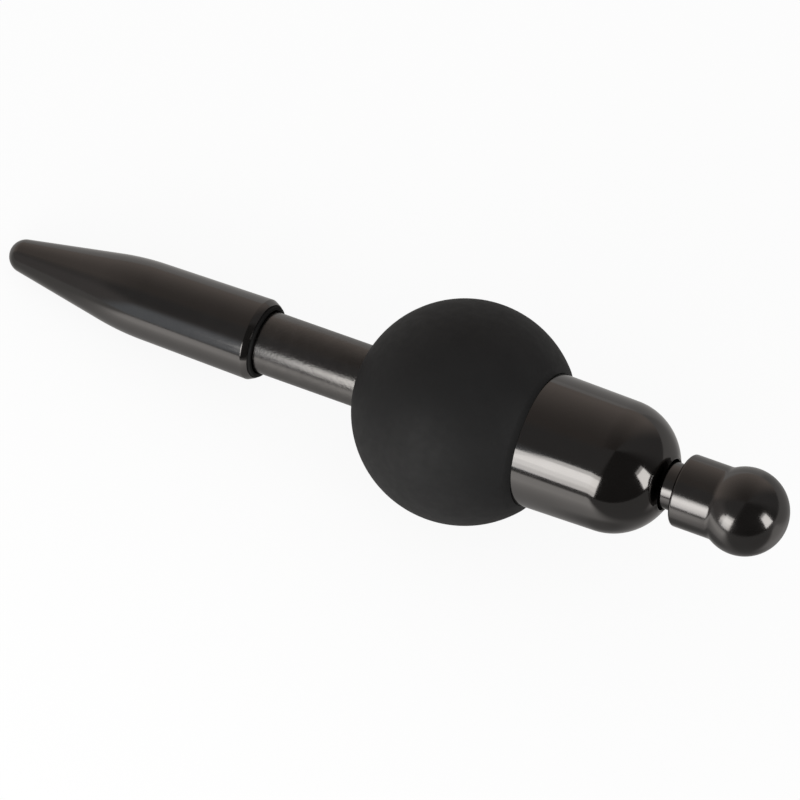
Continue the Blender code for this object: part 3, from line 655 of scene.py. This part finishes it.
def camera():
    """Level camera on the photograph's line of sight, framed so that the ball lies at its pixel."""
    turn = Euler((math.pi / 2 - CAMERA_ELEVATION, 0, math.pi / 2 + CAMERA_AZIMUTH)).to_matrix()
    per_pixel = CAMERA_SENSOR / IMAGE_SIDE / CAMERA_LENS * CAMERA_DISTANCE
    aside = (BALL_PIXEL[0] - IMAGE_SIDE / 2) * per_pixel
    below = (BALL_PIXEL[1] - IMAGE_SIDE / 2) * per_pixel
    data = bpy.data.cameras.new("camera")
    data.lens = CAMERA_LENS
    data.sensor_width = CAMERA_SENSOR
    data.sensor_fit = "HORIZONTAL"
    data.clip_start = 0.01
    data.clip_end = 20
    made = bpy.data.objects.new("camera", data)
    bpy.context.scene.collection.objects.link(made)
    reach = turn @ Vector((aside, -below, -CAMERA_DISTANCE))
    made.matrix_world = Matrix.Translation(AXIS.translation - reach) @ turn.to_4x4()
    bpy.context.scene.camera = made


def softbox(name, centre, azimuth, width, height, level, colour):
    """An upright rectangular lamp that faces the given azimuth; level is its brightness beside white."""
    data = bpy.data.lights.new(name, "AREA")
    data.shape = "RECTANGLE"
    data.size = width
    data.size_y = height
    data.color = colour
    data.energy = level * math.pi * width * height
    made = bpy.data.objects.new(name, data)
    bpy.context.scene.collection.objects.link(made)
    made.location = centre
    made.rotation_euler = (math.pi / 2, 0, math.radians(azimuth) - math.pi / 2)
    made.visible_camera = False


class Tree:
    """Short ways to add value nodes to a world or a stage material."""

    def __init__(self, tree):
        self.nodes = tree.nodes
        self.links = tree.links

    def ramp(self, value, start, end, low, high, interpolation="LINEAR"):
        node = self.nodes.new("ShaderNodeMapRange")
        node.interpolation_type = interpolation
        node.inputs["From Min"].default_value = start
        node.inputs["From Max"].default_value = end
        node.inputs["To Min"].default_value = low
        node.inputs["To Max"].default_value = high
        self.links.new(value, node.inputs["Value"])
        return node.outputs["Result"]

    def step(self, value, start, end, low=0.0, high=1.0):
        return self.ramp(value, start, end, low, high, "SMOOTHSTEP")

    def mix(self, factor, first, second):
        node = self.nodes.new("ShaderNodeMix")
        self.links.new(factor, node.inputs["Factor"])
        for socket, value in (("A", first), ("B", second)):
            if isinstance(value, float):
                node.inputs[socket].default_value = value
            else:
                self.links.new(value, node.inputs[socket])
        return node.outputs["Result"]

    def math(self, operation, first, second=None):
        node = self.nodes.new("ShaderNodeMath")
        node.operation = operation
        for socket, value in zip(node.inputs, (first, second)):
            if value is None:
                continue
            if isinstance(value, (int, float)):
                socket.default_value = value
            else:
                self.links.new(value, socket)
        return node.outputs[0]

    def product(self, first, *others):
        for each in others:
            first = self.math("MULTIPLY", first, each)
        return first

    def blend(self, factor, first, second):
        node = self.nodes.new("ShaderNodeMix")
        node.data_type = "RGBA"
        self.links.new(factor, node.inputs["Factor"])
        for socket, value in (("A", first), ("B", second)):
            if isinstance(value, tuple):
                node.inputs[socket].default_value = (*value, 1)
            else:
                self.links.new(value, node.inputs[socket])
        return node.outputs["Result"]


def world():
    """Even ambient light. Gloss sees a dark room instead, with a brown wall behind and a grey-blue left."""
    made = bpy.data.worlds.new("studio")
    made.use_nodes = True
    bpy.context.scene.world = made
    tree = Tree(made.node_tree)
    background = tree.nodes["Background"]
    path = tree.nodes.new("ShaderNodeLightPath")
    split = tree.nodes.new("ShaderNodeSeparateXYZ")
    tree.links.new(tree.nodes.new("ShaderNodeTexCoord").outputs["Generated"], split.inputs[0])
    x, y, z = split.outputs
    azimuth = tree.math("ARCTAN2", y, x)
    # The wall reaches past the left, where azimuth jumps by a full turn, so it is measured from there
    from_left = tree.math("ARCTAN2", tree.product(y, -1.0), tree.product(x, -1.0))
    behind = tree.product(
        tree.step(from_left, *WALL_RIGHT_EDGE),
        tree.step(from_left, *WALL_LEFT_EDGE),
    )
    front = tree.product(
        tree.step(azimuth, *FRONT_LEFT_EDGE),
        tree.step(azimuth, *FRONT_RIGHT_EDGE),
    )
    aside = tree.product(
        tree.step(z, *SIDE_TOP_EDGE),
        tree.step(azimuth, *SIDE_NEAR_EDGE),
        tree.step(azimuth, *SIDE_FAR_EDGE),
    )
    height = tree.ramp(z, *WALL_HEIGHTS, *WALL_COLOUR_SHARES)
    wall = tree.blend(height, WALL_TOP_COLOUR, WALL_COLOUR)
    side = tree.blend(tree.step(azimuth, *SIDE_COLOUR_EDGE), SIDE_COLOUR, SIDE_NEAR_COLOUR)
    room = tree.blend(front, ROOM_COLOUR, FRONT_COLOUR)
    room = tree.blend(behind, room, wall)
    room = tree.blend(aside, room, side)
    seen = tree.math("ADD", path.outputs["Is Camera Ray"], path.outputs["Is Transmission Ray"])
    plain = tree.blend(seen, (AMBIENT, AMBIENT, AMBIENT), (1.0, 1.0, 1.0))
    seen_by_gloss = tree.blend(path.outputs["Is Glossy Ray"], plain, room)
    tree.links.new(seen_by_gloss, background.inputs["Color"])


def floor_tone(tree, x, y):
    """What gloss sees of the floor, beside white, at a place on it, with its painted shade, shadow and
    light.
    """
    slope = tree.math("DIVIDE", tree.product(y, -1.0), tree.math("ADD", x, SHEET_FAN))
    # painted shade: the sheet's tone falls from white towards the object
    sheet = tree.ramp(slope, *SHEET_SLOPES, *SHEET_PAINTED_SHADE_TONES)
    right_line = tree.math("SUBTRACT", x, tree.product(y, SHEET_RIGHT_LEAN))
    left_line = tree.math("SUBTRACT", x, tree.product(y, SHEET_LEFT_LEAN))
    within = tree.product(tree.step(right_line, *SHEET_RIGHT_EDGE), tree.step(y, *SHEET_NEAR_EDGE))
    tone = tree.mix(within, BEYOND_TONE, sheet)
    tone = tree.mix(tree.step(left_line, *SHEET_LEFT_EDGE), LEFT_TONE, tone)
    behind = tree.mix(tree.step(x, *BEHIND_LEFT_EDGE), BEHIND_TONES[0], BEHIND_TONES[1])
    behind = tree.mix(tree.step(x, *BEHIND_RIGHT_EDGE), behind, BEHIND_TONES[2])
    tone = tree.mix(tree.step(y, *SHEET_BACK_EDGE), behind, tone)
    # painted light: a brighter patch on the floor to the right of the object
    lit_patch = tree.product(
        tree.step(x, *LIT_PATCH_LEFT_EDGE),
        tree.step(y, *LIT_PATCH_NEAR_EDGE),
        tree.step(y, *LIT_PATCH_BACK_EDGE),
        tree.step(x, *LIT_PATCH_RIGHT_EDGE),
    )
    tone = tree.mix(lit_patch, tone, LIT_PATCH_TONE)
    # painted shadow: the floor's tone darkens around a spot in front of the housing
    across = tree.math("ADD", x, -SHADOW_SPOT_MIDDLE[0])
    along = tree.math("ADD", y, -SHADOW_SPOT_MIDDLE[1])
    square = tree.math("ADD", tree.product(across, across), tree.product(along, along))
    apart = tree.math("SQRT", square)
    return tree.product(tone, tree.step(apart, *SHADOW_SPOT_RADII, SHADOW_SPOT_SHARE, 1.0))


def floor():
    """Pale floor that keeps a faint shadow; in reflections it glows with painted tones instead: a white
    sheet in front, grey elsewhere, with painted shade near the object, a painted shadow spot and a painted
    pool of light.
    """
    bpy.ops.mesh.primitive_grid_add(x_subdivisions=8, y_subdivisions=8, size=FLOOR_SIZE)
    made = bpy.context.object
    made.name = "floor"
    material = bpy.data.materials.new("floor")
    material.use_nodes = True
    tree = Tree(material.node_tree)
    shader = tree.nodes["Principled BSDF"]
    shader.inputs["Base Color"].default_value = (*FLOOR_COLOUR, 1)
    shader.inputs["Roughness"].default_value = FLOOR_ROUGHNESS
    shader.inputs["Specular IOR Level"].default_value = 0.0
    white = tree.nodes.new("ShaderNodeEmission")
    path = tree.nodes.new("ShaderNodeLightPath")
    split = tree.nodes.new("ShaderNodeSeparateXYZ")
    tree.links.new(tree.nodes.new("ShaderNodeNewGeometry").outputs["Position"], split.inputs[0])
    tone = floor_tone(tree, split.outputs[0], split.outputs[1])
    seen = tree.math("ADD", path.outputs["Is Camera Ray"], path.outputs["Is Transmission Ray"])
    glossy = path.outputs["Is Glossy Ray"]
    tree.links.new(tree.blend(glossy, (1.0, 1.0, 1.0), FLOOR_TINT), white.inputs["Color"])
    tree.links.new(tree.math("ADD", seen, tree.product(glossy, tone)), white.inputs["Strength"])
    mix = tree.nodes.new("ShaderNodeMixShader")
    share = tree.math("MAXIMUM", tree.product(seen, CAMERA_WHITE_SHARE), glossy)
    tree.links.new(share, mix.inputs["Fac"])
    tree.links.new(shader.outputs[0], mix.inputs[1])
    tree.links.new(white.outputs[0], mix.inputs[2])
    tree.links.new(mix.outputs[0], tree.nodes["Material Output"].inputs["Surface"])
    made.data.materials.append(material)


def lamps():
    for name, left, right, low, high, level in LEFT_SOFTBOX:
        centre = ((left + right) / 2 * MM, LEFT_SOFTBOX_Y, (low + high) / 2 * MM)
        size = ((right - left) * MM, (high - low) * MM)
        softbox(name, centre, LEFT_SOFTBOX_AZIMUTH, *size, level, LEFT_SOFTBOX_COLOUR)
    for name, middle, height, level in RIGHT_SOFTBOX:
        centre = (RIGHT_SOFTBOX_X, RIGHT_SOFTBOX_Y, middle * MM)
        size = (RIGHT_SOFTBOX_WIDTH, height * MM)
        softbox(name, centre, RIGHT_SOFTBOX_AZIMUTH, *size, level, RIGHT_SOFTBOX_COLOUR)


def studio():
    lamps()
    world()
    floor()
    view = bpy.context.scene.view_settings
    view.view_transform = "Standard"


camera()
dress_frame()
make_pieces()
studio()

bpy.context.view_layer.update()
